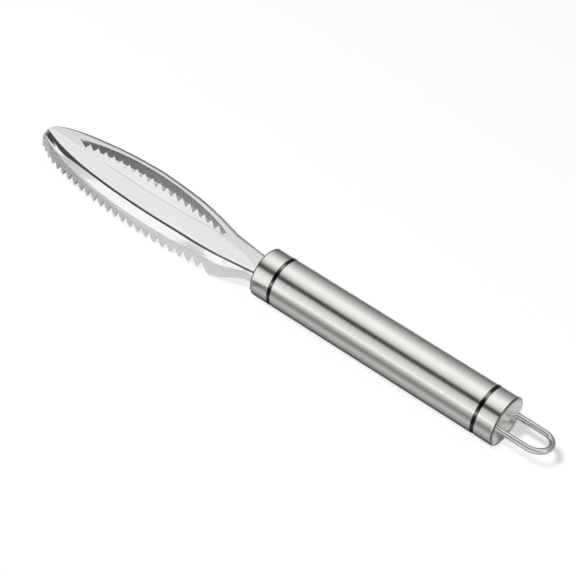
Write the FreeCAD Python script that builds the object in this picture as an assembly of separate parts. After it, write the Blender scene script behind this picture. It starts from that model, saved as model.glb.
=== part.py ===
import FreeCAD, Part
import math
import os

os.makedirs("parts", exist_ok=True)
Vec = FreeCAD.Vector

# A steel fish scaler lying on a flat surface. X runs along the handle's axis from the
# nose of the blade to the hanging loop, the toothed side is -Y, and Z points up.
# The origin is on the axis at the middle of the handle. All sizes are in millimetres.

# Handle: a thin tube between two caps, with a black ring before and behind it
handleRadius = 10.5
tubeLength = 95.8
tubeWall = 0.8
ringWidth = 1.7
ringSink = 0.15
frontCapLength = 8.7
frontCapRound = 1.0
endCapLength = 7.9
endCapRound = 1.0
endCapDome = 1.3
domeFlat = 3.3
roundSteps = 4
capFace = 3.0
spigotLength = 11.0
spigotWall = 1.6
fitGap = 0.05

# Hanging loop: a round wire bent into a U, with both legs pressed into the end cap
wireDiameter = 2.5
loopLegSpacing = 13.0
loopReach = 20.2
loopLegSeat = 6.5
loopTurn = -17.0

# Blade: one stamped sheet, an open channel with a leaf outline
sheet = 1.0
bladeReach = 121.3
nearHalfWidth = 13.3
farHalfWidth = 13.5
plateHeight = 3.5
toothFoot = 6.5
heelFoot = 1.1
farFoot = 6.4
facetDrop = 1.3
shoulderDrop = 4.3
shoulderShare = 0.66
farWallFlare = 0.4
lipShare = 0.3
lipShareInSlot = 0.51
rollWidth = 1.0
rollBack = 0.45
rollAngle = 30.4
creaseRadius = 2.2
shoulderRadius = 3.2
rimRadius = 3.1
smallestBend = 0.15
fullBendWidth = 15.0
noseRun = 5.0
noseDrop = 7.1
tangLength = 19.0
tangGap = 0.1
hollowReach = 6.0
hollowStart = 5.0

# Outer teeth, cut into the steep near wall
outerToothCount = 24
outerPitch = 3.91
outerPitchGrowth = 0.025
outerToothHeight = 3.7
outerToothFlat = 0.3
outerToothStart = 0.9
outerToothLean = 0.57
gulletFlat = 0.25
heelGap = 5.6
gapDepth = 5.0
slopeStep = 0.1

# Slot beside the raised lip, with saw teeth along the lip
slotStart = 17.4
slotStartSide = 4.4
slotEndSide = 3.2
slotFarRise = 6.2
slotFullness = 0.8
lipStartSide = 2.1
lipEndSide = 1.0
lipArc = 2.1
innerToothCount = 19
innerPitch = 4.14
innerToothStart = 22.8
lastToothGap = 0.88
innerToothHeight = 2.8
innerToothLean = 0.15
lipRise = 0.5

# the slot ends just past its last tooth
slotEnd = innerToothStart + innerPitch * (innerToothCount - 1) + lastToothGap

along = Vec(1, 0, 0)

tubeFront = -tubeLength / 2
tubeRear = tubeLength / 2
frontShoulder = tubeFront - ringWidth
frontFace = frontShoulder - frontCapLength
rearShoulder = tubeRear + ringWidth
endFace = rearShoulder + endCapLength
noseX = frontFace - bladeReach
tubeBore = handleRadius - tubeWall
spigotRadius = tubeBore - fitGap
spigotBore = spigotRadius - spigotWall
ringRadius = handleRadius - ringSink
ringBore = spigotRadius + fitGap


def smooth(table, where):
    """Value of a smooth curve through the table's (place, value) pairs."""
    if where <= table[0][0]:
        return table[0][1]
    if where >= table[-1][0]:
        return table[-1][1]
    last = len(table) - 1
    slopes = []
    for k in range(last + 1):
        low, high = max(k - 1, 0), min(k + 1, last)
        rise = table[high][1] - table[low][1]
        slopes.append(rise / (table[high][0] - table[low][0]))
    k = 0
    while table[k + 1][0] < where:
        k += 1
    x0, y0 = table[k]
    x1, y1 = table[k + 1]
    h = x1 - x0
    t = (where - x0) / h
    return (
        y0 * (1 + 2 * t) * (1 - t) ** 2
        + slopes[k] * h * t * (1 - t) ** 2
        + y1 * t * t * (3 - 2 * t)
        + slopes[k + 1] * h * t * t * (t - 1)
    )


# Plan of the leaf: shares of the reach from the nose, and shares of the half widths
nearFootPlan = [
    (0.000, 0.060), (0.008, 0.150), (0.033, 0.280), (0.064, 0.415), (0.096, 0.522),
    (0.127, 0.595), (0.158, 0.660), (0.190, 0.712), (0.254, 0.812), (0.325, 0.890),
    (0.391, 0.950), (0.500, 0.995), (0.590, 0.990), (0.673, 0.960), (0.783, 0.865),
    (0.833, 0.880), (0.868, 0.840), (0.885, 0.800), (0.918, 0.690), (0.939, 0.605),
    (0.965, 0.575), (1.000, 0.560),
]
nearCreasePlan = [
    (0.000, -0.030), (0.023, -0.050), (0.037, 0.020), (0.080, 0.165), (0.130, 0.296),
    (0.178, 0.388), (0.234, 0.475), (0.300, 0.540), (0.348, 0.579), (0.454, 0.632),
    (0.570, 0.654), (0.709, 0.640), (0.756, 0.640), (0.835, 0.600), (0.905, 0.520),
    (1.000, 0.410),
]
farWallPlan = [
    (0.000, 0.110), (0.012, 0.125), (0.023, 0.150), (0.028, 0.185), (0.034, 0.235),
    (0.040, 0.295), (0.045, 0.355), (0.056, 0.425), (0.070, 0.500), (0.085, 0.570),
    (0.109, 0.660), (0.135, 0.735), (0.161, 0.800), (0.230, 0.881), (0.299, 0.948),
    (0.455, 1.000), (0.557, 0.956), (0.671, 0.867), (0.770, 0.695), (0.847, 0.510),
    (0.906, 0.440), (0.957, 0.375), (1.000, 0.350),
]
farCreasePlan = [
    (0.000, 0.075), (0.023, 0.100), (0.045, 0.120), (0.150, 0.080), (0.440, 0.015),
    (0.660, 0.025), (0.760, 0.095), (0.844, 0.030), (0.893, -0.031), (0.937, -0.088),
    (0.968, -0.220), (1.000, -0.330),
]
shoulderDropPlan = [
    (0.000, 0.190), (0.072, 0.400), (0.145, 0.640), (0.220, 0.790), (0.370, 1.000),
    (0.740, 1.000), (0.823, 0.850), (0.891, 0.620), (0.938, 0.460), (0.969, 0.360),
    (1.000, 0.320),
]
footPlan = [
    (0.000, 1.000), (0.800, 1.000), (0.833, 0.963), (0.868, 0.778), (0.885, 0.630),
    (0.918, 0.352), (0.939, 0.204), (0.965, 0.056), (1.000, 0.000),
]

# Width of the rolled edge between plate and shoulder, wider behind the nose
rollPlan = [
    (0.000, 0.10), (0.060, 0.80), (0.120, 2.20), (0.155, 2.15), (0.225, 1.35),
    (0.300, 1.10), (1.000, 1.00),
]


# Where the blade's sections stand, as shares of its reach, closer together at the nose
noseShare = 0.12
noseStations = 10
leafStations = 22
stationShares = [noseShare * (k / noseStations) ** 2 for k in range(noseStations)]
for k in range(leafStations + 1):
    stationShares.append(noseShare + (1 - noseShare) * k / leafStations)

# The hollow under the sheet starts behind the solid nose and needs half the leaf's stations
hollowShares = [s for s in stationShares[:noseStations] if s * bladeReach >= hollowStart]
hollowShares += stationShares[noseStations::2]


def footSide(place):
    """Side of the near wall's foot at a distance from the nose."""
    return -nearHalfWidth * smooth(nearFootPlan, place / bladeReach)


def plateTop(place):
    """Height of the plate's upper face, which rounds down over the nose."""
    if place >= noseRun:
        return plateHeight
    return plateHeight - noseDrop * (1 - place / noseRun) ** 3


def slotShare(place):
    """0 at the slot's start and 1 at its end."""
    return min(max((place - slotStart) / (slotEnd - slotStart), 0.0), 1.0)


def slotFarSide(place):
    """Side of the slot's smooth edge."""
    t = slotShare(place)
    arch = (4 * t * (1 - t)) ** slotFullness
    return slotStartSide + t * (slotEndSide - slotStartSide) + slotFarRise * arch


def profileCorners(share):
    """Corners of the sheet's outer face at one station, from the far foot to the near."""
    place = share * bladeReach
    top = plateTop(place)
    nearFoot = footSide(place)
    nearCrease = -nearHalfWidth * smooth(nearCreasePlan, share)
    farWall = farHalfWidth * smooth(farWallPlan, share)
    spread = min((farWall - nearCrease) / fullBendWidth, 1.0)
    rollTop = nearCrease + rollBack * spread
    angle = math.radians(rollAngle)
    plateLeft = creaseRadius * spread * math.tan(angle / 2) + smallestBend
    farCrease = max(farHalfWidth * smooth(farCreasePlan, share), rollTop + plateLeft)
    depth = smooth(footPlan, share)
    foot = heelFoot + (toothFoot - heelFoot) * depth
    farEdge = heelFoot + (farFoot - heelFoot) * depth
    bend = nearCrease + shoulderShare * (nearFoot - nearCrease)
    drop = shoulderDrop * smooth(shoulderDropPlan, share)
    width = farWall - farCrease
    slope = facetDrop / farHalfWidth
    bump = math.sin(math.pi * slotShare(place))
    lip = width * (lipShare + (lipShareInSlot - lipShare) * bump)
    rolled = rollWidth * smooth(rollPlan, share)
    return [
        (farWall + farWallFlare, -farEdge),
        (farWall, top - slope * width * (1 - bump) + lipRise * bump),
        (farCrease + lip, top - slope * lip * (1 - bump) + lipRise * bump),
        (farCrease, top),
        (rollTop, top),
        (rollTop - rolled * math.cos(angle), top - rolled * math.sin(angle)),
        (bend, top - drop),
        (nearFoot, -foot),
    ]


def insetCorners(corners, distance, reachDown):
    """Corners moved in square to each run, with both feet carried on by reachDown."""
    runs = []
    for (y0, z0), (y1, z1) in zip(corners, corners[1:]):
        length = math.hypot(y1 - y0, z1 - z0)
        runs.append(((y1 - y0) / length, (z1 - z0) / length))
    moved = []
    for k, (y, z) in enumerate(corners):
        before = runs[max(k - 1, 0)]
        after = runs[min(k, len(runs) - 1)]
        spread = 1 + before[0] * after[0] + before[1] * after[1]
        moved.append([
            y - distance * (before[1] + after[1]) / spread,
            z + distance * (before[0] + after[0]) / spread,
        ])
    for end, run, way in ((moved[0], runs[0], -1), (moved[-1], runs[-1], 1)):
        end[0] += way * run[0] * reachDown
        end[1] += way * run[1] * reachDown
    return moved


def bentLine(x, corners, radii):
    """Edges of the run through the corners, with an arc at each corner with a radius."""
    points = [Vec(x, y, z) for y, z in corners]
    edges = []
    start = points[0]
    for k in range(1, len(points) - 1):
        if radii[k] == 0:
            edges.append(Part.makeLine(start, points[k]))
            start = points[k]
            continue
        back = (points[k - 1] - points[k]).normalize()
        forth = (points[k + 1] - points[k]).normalize()
        half = back.getAngle(forth) / 2
        reach = radii[k] / math.tan(half)
        depth = radii[k] / math.sin(half) - radii[k]
        entry = points[k] + back * reach
        leave = points[k] + forth * reach
        middle = points[k] + (back + forth).normalize() * depth
        edges.append(Part.makeLine(start, entry))
        edges.append(Part.Arc(entry, middle, leave).toShape())
        start = leave
    edges.append(Part.makeLine(start, points[-1]))
    return edges


def sectionWire(x, share, inset, reachDown):
    """Closed section of the blade's body, or of the hollow when it is inset."""
    corners = profileCorners(share)
    size = min((corners[1][0] - corners[4][0]) / fullBendWidth, 1.0)
    rim, crease, shoulder = [
        max(radius * size - inset, smallestBend)
        for radius in (rimRadius, creaseRadius, shoulderRadius)
    ]
    corners = insetCorners(corners, inset, reachDown)
    edges = bentLine(x, corners, [0, rim, 0, 0, crease, 0, shoulder, 0])
    first = edges[0].Vertexes[0].Point
    last = edges[-1].Vertexes[-1].Point
    edges.append(Part.makeLine(last, first))
    return Part.Wire(edges)


def bladeBody(inset, reachDown):
    """Loft through the stations from the nose to the handle's front face."""
    wires = []
    for share in hollowShares if inset else stationShares:
        x = noseX + share * bladeReach + inset * (1 - share)
        wires.append(sectionWire(x, share, inset, reachDown))
    return Part.makeLoft(wires, True, True)


def tangSection(x, gap):
    """Face of the sheet's section where it enters the handle, grown by a gap."""
    body = Part.Face(sectionWire(x, 1.0, -gap, gap))
    return body.cut(Part.Face(sectionWire(x, 1.0, sheet + gap, hollowReach)))


def slotCutter():
    """Prism with one smooth side and one side with saw teeth."""
    span = slotEnd - slotStart
    smoothSide = []
    for k in range(9):
        place = slotStart + span * k / 8
        smoothSide.append(Vec(noseX + place, slotFarSide(place), 0))
    curve = Part.BSplineCurve()
    curve.interpolate(smoothSide)
    saw = [smoothSide[0]]
    for k in range(innerToothCount):
        u = k / (innerToothCount - 1)
        place = innerToothStart + innerPitch * k
        root = lipStartSide + u * (lipEndSide - lipStartSide) + lipArc * 4 * u * (1 - u)
        saw.append(Vec(noseX + place, root, 0))
        if k < innerToothCount - 1:
            saw.append(Vec(noseX + place + innerToothLean, root + innerToothHeight, 0))
    saw.append(smoothSide[-1])
    edges = [curve.toShape()]
    edges += [Part.makeLine(a, b) for a, b in zip(saw, saw[1:])]
    face = Part.Face(Part.Wire(Part.__sortEdges__(edges)))
    return face.extrude(Vec(0, 0, plateHeight + 2 * sheet))


def toothGap(place, width):
    """Prism that cuts one gap through the near wall, square to the wall in plan."""
    slope = (footSide(place + slopeStep) - footSide(place - slopeStep)) / (2 * slopeStep)
    run = Vec(1, slope, 0).normalize()
    outwards = Vec(slope, -1, 0).normalize()
    apex = (1 - outerToothLean) * width
    low = -toothFoot - sheet
    high = -toothFoot + outerToothHeight
    outline = [
        (outerToothFlat / 2, low),
        (outerToothFlat / 2, -toothFoot),
        (apex - gulletFlat / 2, high),
        (apex + gulletFlat / 2, high),
        (width - outerToothFlat / 2, -toothFoot),
        (width - outerToothFlat / 2, low),
    ]
    base = Vec(noseX + place, footSide(place), 0) - outwards * (gapDepth / 2)
    points = [base + run * a + Vec(0, 0, z) for a, z in outline]
    face = Part.Face(Part.makePolygon(points + points[:1]))
    return face.extrude(outwards * gapDepth)


def outerGaps():
    """The gaps between the outer teeth, and the wider one before the heel."""
    gaps = []
    place = outerToothStart
    for k in range(outerToothCount):
        pitch = outerPitch + outerPitchGrowth * k
        gaps.append(toothGap(place, pitch if k < outerToothCount - 1 else heelGap))
        slope = (footSide(place + slopeStep) - footSide(place)) / slopeStep
        place += pitch / math.hypot(1, slope)
    return gaps


def makeBlade():
    """One stamped sheet with teeth, slot and tang."""
    leaf = bladeBody(0.0, 0.0).cut(bladeBody(sheet, hollowReach))
    leaf = leaf.cut([slotCutter()] + outerGaps())
    return leaf.fuse(tangSection(frontFace, 0.0).extrude(along * tangLength))


def ring(outerRadius, innerRadius, start, length):
    """Hollow cylinder along the handle."""
    body = Part.makeCylinder(outerRadius, length, Vec(start, 0, 0), along)
    return body.cut(Part.makeCylinder(innerRadius, length, Vec(start, 0, 0), along))


def makeCap(face, shoulder, rounding, dome):
    """Cap with a flat or domed face, a round edge and a spigot that enters the tube."""
    way = 1 if shoulder > face else -1
    profile = [Vec(face - way * dome, 0, 0)]
    if dome:
        profile.append(Vec(face - way * dome, domeFlat, 0))
    for k in range(roundSteps + 1):
        angle = math.pi / 2 * k / roundSteps
        inset = rounding * (1 - math.sin(angle))
        back = rounding * (1 - math.cos(angle))
        profile.append(Vec(face + way * back, handleRadius - inset, 0))
    spigotEnd = shoulder + way * (ringWidth + spigotLength)
    profile += [
        Vec(shoulder, handleRadius, 0),
        Vec(shoulder, spigotRadius, 0),
        Vec(spigotEnd, spigotRadius, 0),
        Vec(spigotEnd, spigotBore, 0),
        Vec(face + way * capFace, spigotBore, 0),
        Vec(face + way * capFace, 0, 0),
        profile[0],
    ]
    face = Part.Face(Part.makePolygon(profile))
    return face.revolve(Vec(0, 0, 0), along, 360)


def makeFrontCap():
    """Front cap with the slot that the blade's tang goes through."""
    cap = makeCap(frontFace, frontShoulder, frontCapRound, 0.0)
    length = capFace + tangLength + tangGap
    slot = tangSection(frontFace - capFace, tangGap).extrude(along * length)
    return cap.cut(slot)


def loopPath():
    """Middle line of the wire: a leg, the half round and the other leg."""
    side = loopLegSpacing / 2
    start = endFace - loopLegSeat
    turn = endFace + loopReach - wireDiameter / 2 - side
    legs = [
        Part.makeLine(Vec(start, -side, 0), Vec(turn, -side, 0)),
        Part.makeLine(Vec(turn, side, 0), Vec(start, side, 0)),
    ]
    bow = Part.Arc(Vec(turn, -side, 0), Vec(turn + side, 0, 0), Vec(turn, side, 0))
    return Part.Wire([legs[0], bow.toShape(), legs[1]])


def makeLoop():
    """Round wire bent into a U."""
    path = loopPath()
    start = path.Vertexes[0].Point
    profile = Part.Wire(Part.makeCircle(wireDiameter / 2, start, along))
    wire = path.makePipeShell([profile], True, False)
    wire.rotate(Vec(0, 0, 0), along, loopTurn)
    return wire


def makeEndCap():
    """End cap with two holes for the loop's legs."""
    cap = makeCap(endFace, rearShoulder, endCapRound, endCapDome)
    holes = []
    length = fitGap + loopLegSeat + endCapDome + fitGap
    for side in (-loopLegSpacing / 2, loopLegSpacing / 2):
        start = Vec(endFace - loopLegSeat - fitGap, side, 0)
        hole = Part.makeCylinder(wireDiameter / 2 + fitGap, length, start, along)
        hole.rotate(Vec(0, 0, 0), along, loopTurn)
        holes.append(hole)
    return cap.cut(holes)


# Lying on a flat surface, the handle and the lowest tooth tip both touch it
tipDistance = math.hypot(nearHalfWidth, toothFoot)
roll = math.asin(handleRadius / tipDistance) - math.atan2(toothFoot, nearHalfWidth)

pieces = {
    "blade": makeBlade(),
    "front_cap": makeFrontCap(),
    "front_ring": ring(ringRadius, ringBore, frontShoulder, ringWidth),
    "handle_tube": ring(handleRadius, tubeBore, tubeFront, tubeLength),
    "rear_ring": ring(ringRadius, ringBore, tubeRear, ringWidth),
    "end_cap": makeEndCap(),
    "hanging_loop": makeLoop(),
}
for name, shape in pieces.items():
    shape.rotate(Vec(0, 0, 0), along, math.degrees(roll))
    if shape.ShapeType == "Compound" and len(shape.Solids) == 1:
        shape = shape.Solids[0]
    shape.exportStep("parts/" + name + ".step")
    box = shape.BoundBox
    print(name, shape.ShapeType, shape.isValid(), len(shape.Solids), round(shape.Volume, 1))
    print("   x", round(box.XMin, 2), round(box.XMax, 2), "y", round(box.YMin, 2),
          round(box.YMax, 2), "z", round(box.ZMin, 2), round(box.ZMax, 2))
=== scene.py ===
import math

import bpy
from mathutils import Matrix, Vector


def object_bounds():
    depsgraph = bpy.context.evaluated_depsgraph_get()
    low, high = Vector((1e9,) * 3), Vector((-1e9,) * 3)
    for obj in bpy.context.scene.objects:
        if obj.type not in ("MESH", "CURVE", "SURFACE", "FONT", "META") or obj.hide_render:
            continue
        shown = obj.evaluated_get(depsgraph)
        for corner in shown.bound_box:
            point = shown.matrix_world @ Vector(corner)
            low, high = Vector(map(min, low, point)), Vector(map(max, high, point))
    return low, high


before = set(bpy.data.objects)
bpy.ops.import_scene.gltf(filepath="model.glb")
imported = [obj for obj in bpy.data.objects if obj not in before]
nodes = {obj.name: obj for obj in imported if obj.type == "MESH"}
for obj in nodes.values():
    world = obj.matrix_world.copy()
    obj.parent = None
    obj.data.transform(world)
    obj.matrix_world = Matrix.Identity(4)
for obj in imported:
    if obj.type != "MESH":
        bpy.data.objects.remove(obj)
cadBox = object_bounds()

scene = bpy.context.scene
scene.view_settings.view_transform = "Standard"
floorHeight = cadBox[0][2]


class Wire:
    # a node's output, with which sums are written as with a number
    def __init__(self, graph, socket):
        self.graph = graph
        self.socket = socket

    def math(self, operation, *values):
        return self.graph.node("ShaderNodeMath", {"operation": operation}, values)

    def __add__(self, other):
        return self.math("ADD", self, other)

    def __radd__(self, other):
        return self.math("ADD", other, self)

    def __sub__(self, other):
        return self.math("SUBTRACT", self, other)

    def __rsub__(self, other):
        return self.math("SUBTRACT", other, self)

    def __mul__(self, other):
        return self.math("MULTIPLY", self, other)

    def __rmul__(self, other):
        return self.math("MULTIPLY", other, self)

    def __truediv__(self, other):
        return self.math("DIVIDE", self, other)

    def __rtruediv__(self, other):
        return self.math("DIVIDE", other, self)

    def __abs__(self):
        return self.math("ABSOLUTE", self)


class Graph:
    # the node tree of a material or of the world, with one method that adds any node
    def __init__(self, owner):
        owner.use_nodes = True
        self.tree = owner.node_tree
        self.tree.nodes.clear()

    def node(self, kind, settings=None, values=None, output=0):
        made = self.tree.nodes.new(kind)
        for name, value in (settings or {}).items():
            if name == "stops":
                setStops(made.color_ramp, value)
            else:
                setattr(made, name, value)
        pairs = values.items() if isinstance(values, dict) else enumerate(values or [])
        for key, value in pairs:
            if isinstance(value, Wire):
                self.tree.links.new(value.socket, made.inputs[key])
            else:
                made.inputs[key].default_value = value
        if isinstance(output, list):
            return [Wire(self, made.outputs[name]) for name in output]
        return Wire(self, made.outputs[output]) if made.outputs else None


def setStops(ramp, stops):
    while len(ramp.elements) < len(stops):
        ramp.elements.new(0.5)
    for element, (place, grey) in zip(ramp.elements, stops):
        element.position = place
        element.color = (grey, grey, grey, 1)


def curve(graph, value, stops):
    # the level that stops of (value, level) give, straight from one to the next
    first, last = stops[0][0], stops[-1][0]
    shares = [((place - first) / (last - first), level) for place, level in stops]
    return graph.node("ShaderNodeValToRGB", {"stops": shares}, [(value - first) / (last - first)])


def slope(graph, value, start, end, top=1.0, kind="SMOOTHSTEP"):
    # 0 before start and top past end
    return graph.node("ShaderNodeMapRange", {"interpolation_type": kind}, {
        "Value": value, "From Min": start, "From Max": end, "To Max": top})


def larger(graph, first, second):
    return graph.node("ShaderNodeMath", {"operation": "MAXIMUM"}, [first, second])


def coordinates(graph, kind, axes):
    # some axes of one kind of texture coordinates
    place = graph.node("ShaderNodeTexCoord", output=kind)
    return graph.node("ShaderNodeSeparateXYZ", None, [place], list(axes))


# Camera, as fitted to the photograph; right and back are the ways its own axes point
camera = {
    "lens": 125.3,
    "sensor": 36,
    "clip": (0.01, 20),
    "place": (0.27504, -0.56997, 0.42750),
    "right": (0.7722, 0.5978, 0.2151),
    "back": (0.4113, -0.7284, 0.5480),
}


def makeCamera():
    back = Vector(camera["back"]).normalized()
    right = Vector(camera["right"])
    right = (right - back * right.dot(back)).normalized()  # square to back
    data = bpy.data.cameras.new("camera")
    data.lens = camera["lens"]
    data.sensor_width = camera["sensor"]
    data.clip_start, data.clip_end = camera["clip"]
    made = bpy.data.objects.new("camera", data)
    turn = Matrix((right, back.cross(right), back)).transposed()
    made.matrix_world = Matrix.Translation(camera["place"]) @ turn.to_4x4()
    scene.collection.objects.link(made)
    scene.camera = made


makeCamera()
print("camera made")


# Noise for the finishes, and how it is drawn out: a small number draws it far along that axis
noiseSizes = {
    "round": (1.0, 0.03, 0.03), "along": (0.02, 1.0, 1.0), "even": (1.0, 1.0, 1.0),
    "roughness": 0.6, "middle": 0.5,
}


def noise(graph, run, scale, detail=2.0):
    # noise about 0 that runs round the tool, along it, or evenly
    place = graph.node("ShaderNodeTexCoord", output="Object")
    drawn = graph.node("ShaderNodeMapping", None, {"Vector": place, "Scale": noiseSizes[run]})
    made = graph.node("ShaderNodeTexNoise", None, {
        "Vector": drawn, "Scale": scale, "Detail": detail, "Roughness": noiseSizes["roughness"]})
    return made - noiseSizes["middle"]


# What the scratches, streaks and clouds do on all the steel
steelSizes = {
    "streakShade": 0.06, "streakDetail": 3.0,
    "cloudRoughness": 0.06, "cloudDetail": 3.0,
    "scratchRoughness": 0.10, "scratchRelief": 0.12, "scratchDepth": 0.00003,
}
# Steel of the handle: fine scratches from polishing run round it, faint streaks along it.
# Scratches, streaks and clouds are the scales of their noise, grain is how strong the
# scratches are in the colour.
tube = {
    "colour": 0.88, "blue": 0.97, "roughness": 0.17,
    "run": "round", "scratches": 2600, "grain": 0.14, "streaks": 540, "clouds": 90,
}
caps = {
    "colour": 0.88, "blue": 0.97, "roughness": 0.17,
    "run": "round", "scratches": 2600, "grain": 0.10, "streaks": 540, "clouds": 90,
    # painted shade: dark lines painted round the rounded edges, as (place along the tool, half
    # width, how dark), and the share of the half width that is fully dark
    "paintedEdgeShades": [(-0.0578, 0.00055, 0.85), (0.0572, 0.00045, 0.80)], "core": 0.3,
}
# Steel of the blade and of the loop: bright, with a faint grain along it
blade = {
    "colour": 0.93, "blue": 0.99, "roughness": 0.15,
    "run": "along", "scratches": 1300, "grain": 0.24, "streaks": 360, "clouds": 60,
    # painted shade: a dark line along the far crease of the flat, which runs as (place along the
    # tool, place across the flat); roll is how far the flat is turned about the handle's axis, in
    # degrees
    "crease": {
        "line": [(-0.1500, 0.0007), (-0.1408, 0.00048), (-0.1359, 0.00037), (-0.1262, 0.00020),
                 (-0.1165, 0.00013), (-0.1068, 0.00019), (-0.1020, 0.00028),
                 (-0.0971, 0.00048), (-0.0923, 0.00098), (-0.0874, 0.00128),
                 (-0.0826, 0.00101), (-0.0777, 0.00046)],
        "roll": 19.13, "half": 0.00035, "core": 0.2, "dark": 0.30, "fade": 0.012,
    },
}
loop = {
    "colour": 0.70, "blue": 0.98, "roughness": 0.12,
    "run": "along", "scratches": 1900, "grain": 0.10, "streaks": 960, "clouds": 160,
}


def creaseShadeMask(graph, crease):
    # mask of the painted shade along the crease: 1 on the crease and 0 away from it, fading
    # towards both ends
    x, y, z = coordinates(graph, "Object", "XYZ")
    roll = math.radians(crease["roll"])
    acrossFlat = y * math.cos(roll) + z * math.sin(roll)
    offset = abs(acrossFlat - curve(graph, x, crease["line"]))
    near = slope(graph, offset / crease["half"], 1.0, crease["core"])
    left, right = crease["line"][0][0], crease["line"][-1][0]
    fromLeft = slope(graph, x, left, left + crease["fade"], kind="LINEAR")
    fromRight = slope(graph, x, right, right - crease["fade"], kind="LINEAR")
    return near * fromLeft * fromRight


def edgeShadeMask(graph, place, half, core):
    # mask of the painted shade round a cap's rounded edge: 1 round the tool at one place along it
    # and
    # 0 away from there
    x = coordinates(graph, "Object", "X")[0]
    return slope(graph, abs(x - place) / half, 1.0, core)


def steel(name, sizes):
    material = bpy.data.materials.new(name)
    graph = Graph(material)
    scratches = noise(graph, sizes["run"], sizes["scratches"])
    streaks = noise(graph, "along", sizes["streaks"], steelSizes["streakDetail"])
    clouds = noise(graph, "even", sizes["clouds"], steelSizes["cloudDetail"])
    light = 1 + scratches * sizes["grain"] + streaks * steelSizes["streakShade"]
    # painted shade: a dark line along the blade's far crease darkens the steel's colour
    if "crease" in sizes:
        light = light * (1 - creaseShadeMask(graph, sizes["crease"]) * sizes["crease"]["dark"])
    # painted shade: dark lines round the caps' rounded edges darken the steel's colour
    for place, half, dark in sizes.get("paintedEdgeShades", []):
        light = light * (1 - edgeShadeMask(graph, place, half, sizes["core"]) * dark)
    level = light * sizes["colour"]
    colour = graph.node("ShaderNodeCombineColor", None, [level, level, level * sizes["blue"]])
    rough = (sizes["roughness"] + scratches * steelSizes["scratchRoughness"]
             + clouds * steelSizes["cloudRoughness"])
    relief = graph.node("ShaderNodeBump", None, {
        "Strength": steelSizes["scratchRelief"], "Distance": steelSizes["scratchDepth"],
        "Height": scratches})
    shader = graph.node("ShaderNodeBsdfPrincipled", None, {
        "Base Color": colour, "Metallic": 1.0, "Roughness": rough, "Normal": relief})
    graph.node("ShaderNodeOutputMaterial", None, {"Surface": shader})
    return material


# Plastic of the rings. Painted highlights: its coat is laid on in two streaks along the handle,
# as (degrees from the near horizon over the top, weight of the coat).
rings = {
    "colour": 0.002, "roughness": 0.16, "ior": 1.25, "glossIor": 3.2,
    "clouds": 900, "cloudShade": 0.4, "cloudRoughness": 0.08,
    "paintedHighlights": [(-50, 0.0), (-22, 0.02), (-14, 0.30), (-8, 0.02), (4, 0.0), (11, 0.22),
              (18, 0.95), (24, 0.30), (31, 0.0), (48, 0.0), (54, 0.25), (61, 1.0), (68, 1.0),
              (76, 0.10), (95, 0.02), (130, 0.10), (180, 0.10)],
}


def blackPlastic():
    material = bpy.data.materials.new("black plastic")
    graph = Graph(material)
    clouds = noise(graph, "even", rings["clouds"])
    level = rings["colour"] * (1 + clouds * rings["cloudShade"])
    colour = graph.node("ShaderNodeCombineColor", None, [level, level, level])
    rough = rings["roughness"] + clouds * rings["cloudRoughness"]
    # the painted highlights on the rings follow the turn about the handle's axis
    y, z = coordinates(graph, "Object", "YZ")
    turn = graph.node("ShaderNodeMath", {"operation": "ARCTAN2"}, [z, y * -1])
    shader = graph.node("ShaderNodeBsdfPrincipled", None, {
        "Base Color": colour, "Roughness": rough, "IOR": rings["ior"],
        "Coat Weight": curve(graph, turn * math.degrees(1), rings["paintedHighlights"]),
        "Coat IOR": rings["glossIor"], "Coat Roughness": rings["roughness"]})
    graph.node("ShaderNodeOutputMaterial", None, {"Surface": shader})
    return material


tubeSteel = steel("satin steel tube", tube)
capSteel = steel("satin steel caps", caps)
bladeSteel = steel("bright steel blade", blade)
loopSteel = steel("bright steel loop", loop)
ringBlack = blackPlastic()
finishes = {
    "blade": bladeSteel,
    "front_cap": capSteel,
    "front_ring": ringBlack,
    "handle_tube": tubeSteel,
    "rear_ring": ringBlack,
    "end_cap": capSteel,
    "hanging_loop": loopSteel,
}
sharpFrom = 28  # degrees; smaller bends are shaded smooth
for name, material in finishes.items():
    mesh = nodes[name].data
    mesh.materials.clear()
    mesh.materials.append(material)
    for polygon in mesh.polygons:
        polygon.use_smooth = True
    mesh.set_sharp_from_angle(angle=math.radians(sharpFrom))
print("finishes made")


def meshObject(name, points, faces, material):
    mesh = bpy.data.meshes.new(name)
    mesh.from_pydata(points, [], faces)
    mesh.materials.append(material)
    made = bpy.data.objects.new(name, mesh)
    scene.collection.objects.link(made)
    return made


def seenAsBackdrop(graph):
    # 1 for camera, glossy and transmission rays, so that metal shows the backdrop too
    toCamera, glossy, through = graph.node("ShaderNodeLightPath", output=[
        "Is Camera Ray", "Is Glossy Ray", "Is Transmission Ray"])
    return larger(graph, larger(graph, toCamera, glossy), through)


# A white surround, dimmer as light than it looks
white = (1, 1, 1, 1)
surround = {"light": 0.34, "look": 1.0}


def whiteSurround():
    world = bpy.data.worlds.new("studio")
    scene.world = world
    graph = Graph(world)
    light, look = [
        graph.node("ShaderNodeBackground", None, {"Color": white, "Strength": surround[use]})
        for use in ("light", "look")]
    mixed = graph.node("ShaderNodeMixShader", None, [seenAsBackdrop(graph), light, look])
    graph.node("ShaderNodeOutputWorld", None, {"Surface": mixed})


# A pale floor, so matt that it is as white from every side. Beside the loop and the teeth it
# glows for the camera, so that their shadows stay faint: (where the glow starts, where it is
# full, its share).
floor = {
    "side": 6.0, "colour": (0.95, 0.95, 0.95, 1), "roughness": 0.0, "backdropShare": 0.05,
    "glowByLoop": (0.02, 0.065, 0.45),
    "glowByTeeth": (0.016, 0.007, 0.75),
}


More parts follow.
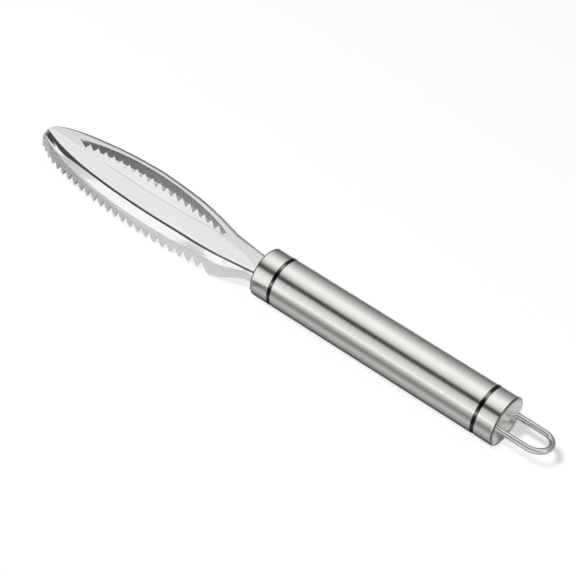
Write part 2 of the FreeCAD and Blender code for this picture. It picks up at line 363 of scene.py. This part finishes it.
def paleFloor():
    material = bpy.data.materials.new("pale floor")
    graph = Graph(material)
    paint = graph.node("ShaderNodeBsdfDiffuse", None, {
        "Color": floor["colour"], "Roughness": floor["roughness"]})
    glow = graph.node("ShaderNodeEmission", None, {"Color": white, "Strength": 1.0})
    x, y = coordinates(graph, "Object", "XY")
    byLoop = slope(graph, x, *floor["glowByLoop"])
    byTeeth = slope(graph, y, *floor["glowByTeeth"])
    toCamera = graph.node("ShaderNodeLightPath", output="Is Camera Ray")
    share = (seenAsBackdrop(graph) * floor["backdropShare"]
             + toCamera * larger(graph, byLoop, byTeeth))
    mixed = graph.node("ShaderNodeMixShader", None, [share, paint, glow])
    graph.node("ShaderNodeOutputMaterial", None, {"Surface": mixed})
    half = floor["side"] / 2
    corners = [(-half, -half, 0), (half, -half, 0), (half, half, 0), (-half, half, 0)]
    made = meshObject("floor", corners, [(0, 1, 2, 3)], material)
    made.location = (0, 0, floorHeight)


# The reflection tent: an arch in two bays along the tool, closed at the nose's end, and
# cards on the floor. Only reflections see it. It gives the steel its light and dark bands.
# A bay's stops are (degrees up from the near horizon, share covered by dark cloth).
tent = {
    "radius": 0.6, "steps": 60,
    "bays": {
        "handle": {
            "ends": (-0.33, 2.5),
            "stops": [(0, 0.12), (5, 0.14), (15, 0.24), (25, 0.38), (31, 0.45), (36, 0.72),
                      (39, 0.99), (50, 0.99), (53, 0.76), (58, 0.46), (65, 0.26), (75, 0.10),
                      (84, 0.0), (95, 0.0), (105, 0.09), (115, 0.28), (125, 0.46), (135, 0.58),
                      (145, 0.68), (155, 0.78), (165, 0.84), (180, 0.86)],
        },
        "blade": {
            "ends": (-1.3, -0.33),
            "stops": [(0, 0.0), (20, 0.04), (32, 0.40), (38, 0.97), (58, 0.99), (66, 0.60),
                      (78, 0.15), (90, 0.08), (105, 0.14), (115, 0.26), (125, 0.42),
                      (135, 0.64), (145, 0.82), (155, 0.92), (165, 0.95), (180, 0.95)],
        },
    },
}
noseCard = {"half": 0.6, "height": 0.6, "cover": 0.65}
# A floor card's stops are (place across the tool, share covered). Left and right are its ends
# along the tool, and a slanting left end is a list of (place across, left end).
floorCards = {
    "handle": {
        "left": [(-0.170, -0.150), (-0.056, -0.086), (-0.0256, -0.0665), (-0.0138, -0.063),
                 (0.0, -0.060)],
        "right": 0.058,
        "stops": [(-0.170, 0.05), (-0.156, 0.11), (-0.056, 0.39), (-0.035, 0.665),
                  (-0.0256, 0.815), (-0.0201, 0.71), (-0.0165, 0.54), (-0.0138, 0.485),
                  (-0.0118, 0.63), (-0.0100, 0.68), (-0.0087, 0.82), (-0.0074, 0.92),
                  (0.0, 0.92)],
    },
    "teeth": {
        "left": -0.190, "right": -0.060,
        "stops": [(-0.060, 0.0), (-0.040, 0.0), (-0.029, 0.34), (-0.023, 0.44), (-0.019, 0.42),
                  (-0.012, 0.38), (-0.004, 0.34)],
    },
    "light strip": {
        "left": -0.186, "right": -0.066, "cloth": white,
        "stops": [(-0.110, 0.0), (-0.090, 0.7), (-0.036, 0.8), (-0.028, 0.1), (-0.024, 0.0),
                  (-0.014, 0.0)],
    },
    "before the nose": {
        "left": -0.420, "right": -0.187,
        "stops": [(-0.200, 0.0), (-0.120, 0.35), (-0.020, 0.55), (0.040, 0.55)],
    },
    "under the nose": {
        "left": -0.187, "right": -0.095, "fades": True,
        "stops": [(-0.013, 0.55), (0.030, 0.55)],
    },
    "behind the end": {
        "left": 0.058, "right": 0.110,
        "stops": [(-0.020, 0.4), (0.0, 0.5), (0.060, 0.4)],
    },
}
cardLift = 0.0004  # from the floor to the first card, and from each to the next
clothGrey = (0.030, 0.030, 0.027, 1)


def card(name, rows, stops, cloth=clothGrey, fades=False):
    # a sheet through rows of (left corner, right corner, place across), covered with cloth as
    # its stops say, and fading out to the right where asked to
    material = bpy.data.materials.new(name)
    graph = Graph(material)
    lengthways, across = coordinates(graph, "UV", "XY")
    cover = curve(graph, across, stops)
    if fades:
        cover = cover * (1 - lengthways)
    clear = graph.node("ShaderNodeBsdfTransparent")
    covered = graph.node("ShaderNodeEmission", None, {"Color": cloth, "Strength": 1.0})
    mixed = graph.node("ShaderNodeMixShader", None, [cover, clear, covered])
    graph.node("ShaderNodeOutputMaterial", None, {"Surface": mixed})
    corners = [corner for left, right, place in rows for corner in (left, right)]
    faces = [(2 * k, 2 * k + 1, 2 * k + 3, 2 * k + 2) for k in range(len(rows) - 1)]
    made = meshObject(name, corners, faces, material)
    layer = made.data.uv_layers.new(name="across")
    for corner, uv in zip(made.data.loops, layer.data):
        row, side = divmod(corner.vertex_index, 2)
        uv.uv = (side, rows[row][2])
    made.visible_camera = False
    made.visible_diffuse = False
    made.visible_shadow = False
    made.visible_transmission = False


def makeTent():
    for name, bay in tent["bays"].items():
        left, right = bay["ends"]
        rows = []
        for k in range(tent["steps"] + 1):
            degrees = 180 * k / tent["steps"]
            y = -tent["radius"] * math.cos(math.radians(degrees))
            z = tent["radius"] * math.sin(math.radians(degrees))
            rows.append(((left, y, z), (right, y, z), degrees))
        card(name + " bay", rows, bay["stops"])
    left = tent["bays"]["blade"]["ends"][0]
    half, height, cover = noseCard["half"], noseCard["height"], noseCard["cover"]
    rows = [((left, -half, z), (left, half, z), z) for z in (0, height)]
    card("nose card", rows, [(0, cover), (height, cover)])


def makeFloorCards():
    for k, (name, sizes) in enumerate(floorCards.items(), 1):
        height = floorHeight + cardLift * k
        left, right, stops = sizes["left"], sizes["right"], sizes["stops"]
        edge = left if isinstance(left, list) else [(stops[0][0], left), (stops[-1][0], left)]
        rows = [((start, y, height), (right, y, height), y) for y, start in edge]
        card(name + " card", rows, stops, sizes.get("cloth", clothGrey), "fades" in sizes)


# One soft lamp above, aimed at the tool; the steel is lit by it but doesn't mirror it
lamp = {"power": 345.0, "side": 0.8, "place": (-0.5, -3.9, 4.5)}


def softLamp():
    data = bpy.data.lights.new("soft lamp", "AREA")
    data.energy = lamp["power"]
    data.size = lamp["side"]
    made = bpy.data.objects.new("soft lamp", data)
    made.visible_glossy = False
    made.location = lamp["place"]
    aim = -Vector(lamp["place"])
    made.rotation_euler = aim.to_track_quat("-Z", "Y").to_euler()
    scene.collection.objects.link(made)


whiteSurround()
paleFloor()
makeTent()
makeFloorCards()
softLamp()
print("studio made")
